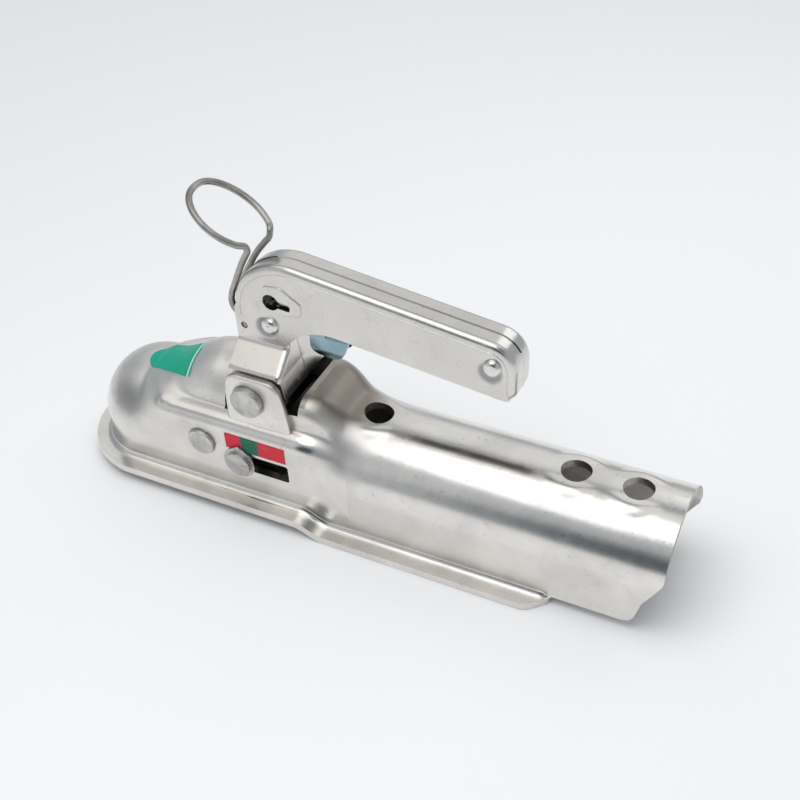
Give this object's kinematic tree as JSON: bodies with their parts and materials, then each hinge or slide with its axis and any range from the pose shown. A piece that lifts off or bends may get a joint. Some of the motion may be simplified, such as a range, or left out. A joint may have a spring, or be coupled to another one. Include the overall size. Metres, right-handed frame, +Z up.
{
  "type": "trailer coupling head",
  "caption": "Pressed steel trailer coupling head with a ball dome, a drawbar sleeve, a lift lever with a safety catch and a wire loop.",
  "frame": {"origin": "centre of the tow ball in its socket", "axes": "+X along the drawbar towards the open end of the sleeve, +Z up, the labelled side faces -Y"},
  "size_m": [0.3028, 0.075, 0.157],
  "materials": {
    "zinc_shell": "bright zinc plate",
    "zinc_lever": "bright zinc plate",
    "zinc_fastener": "zinc plate, riveted",
    "dark_steel": "greased steel",
    "blue_zinc": "blue passivated zinc",
    "wire_steel": "dull spring wire",
    "indicator_label": "printed foil",
    "nose_label": "printed foil"
  },
  "bodies": {
    "shell": {"housing": "zinc_shell", "main_pin": "zinc_fastener", "main_pin_washer": "zinc_fastener", "guide_rivet": "zinc_fastener", "guide_sleeve": "dark_steel", "jaw_spring": "wire_steel", "spring_bracket": "dark_steel", "indicator_label": "indicator_label", "nose_label": "nose_label"},
    "jaw": {"ball_jaw": "dark_steel", "jaw_yoke": "dark_steel", "slot_pin": "zinc_fastener", "slot_washer_near": "zinc_fastener", "slot_washer_far": "zinc_fastener"},
    "lever": {"lever_near_half": "zinc_lever", "lever_far_half": "zinc_lever", "lever_cam": "dark_steel", "lever_front_rivet": "zinc_fastener", "lever_front_sleeve": "dark_steel", "lever_rear_rivet": "zinc_fastener", "lever_rear_sleeve": "dark_steel", "catch_spring": "wire_steel"},
    "catch": {"safety_catch": "blue_zinc"},
    "loop": {"wire_loop": "wire_steel"}
  },
  "joints": [
    {"name": "lever_hinge", "type": "hinge", "parent": "shell", "child": "lever", "pos_m": [0.0693, 0, 0.0418], "axis": [0, -1, 0], "range_deg": [0, 45]},
    {"name": "jaw_slide", "type": "slide", "parent": "shell", "child": "jaw", "axis": [1, 0, 0], "range_m": [0, 0.016], "deforming": ["jaw_spring"]},
    {"name": "catch_hinge", "type": "hinge", "parent": "lever", "child": "catch", "pos_m": [0.0753, 0, 0.0736], "axis": [0, -1, 0], "range_deg": [0, 8], "stiffness_Nm_per_rad": 0.3, "springref_deg": -11.46, "deforming": ["catch_spring"]},
    {"name": "loop_hinge", "type": "hinge", "parent": "lever", "child": "loop", "pos_m": [0.0614, 0, 0.0702], "axis": [0, -1, 0], "range_deg": [0, 38]}
  ],
  "couplings": [
    {"joint": "jaw_slide", "follows": "lever_hinge", "m_per_rad": 0.020372}
  ]
}
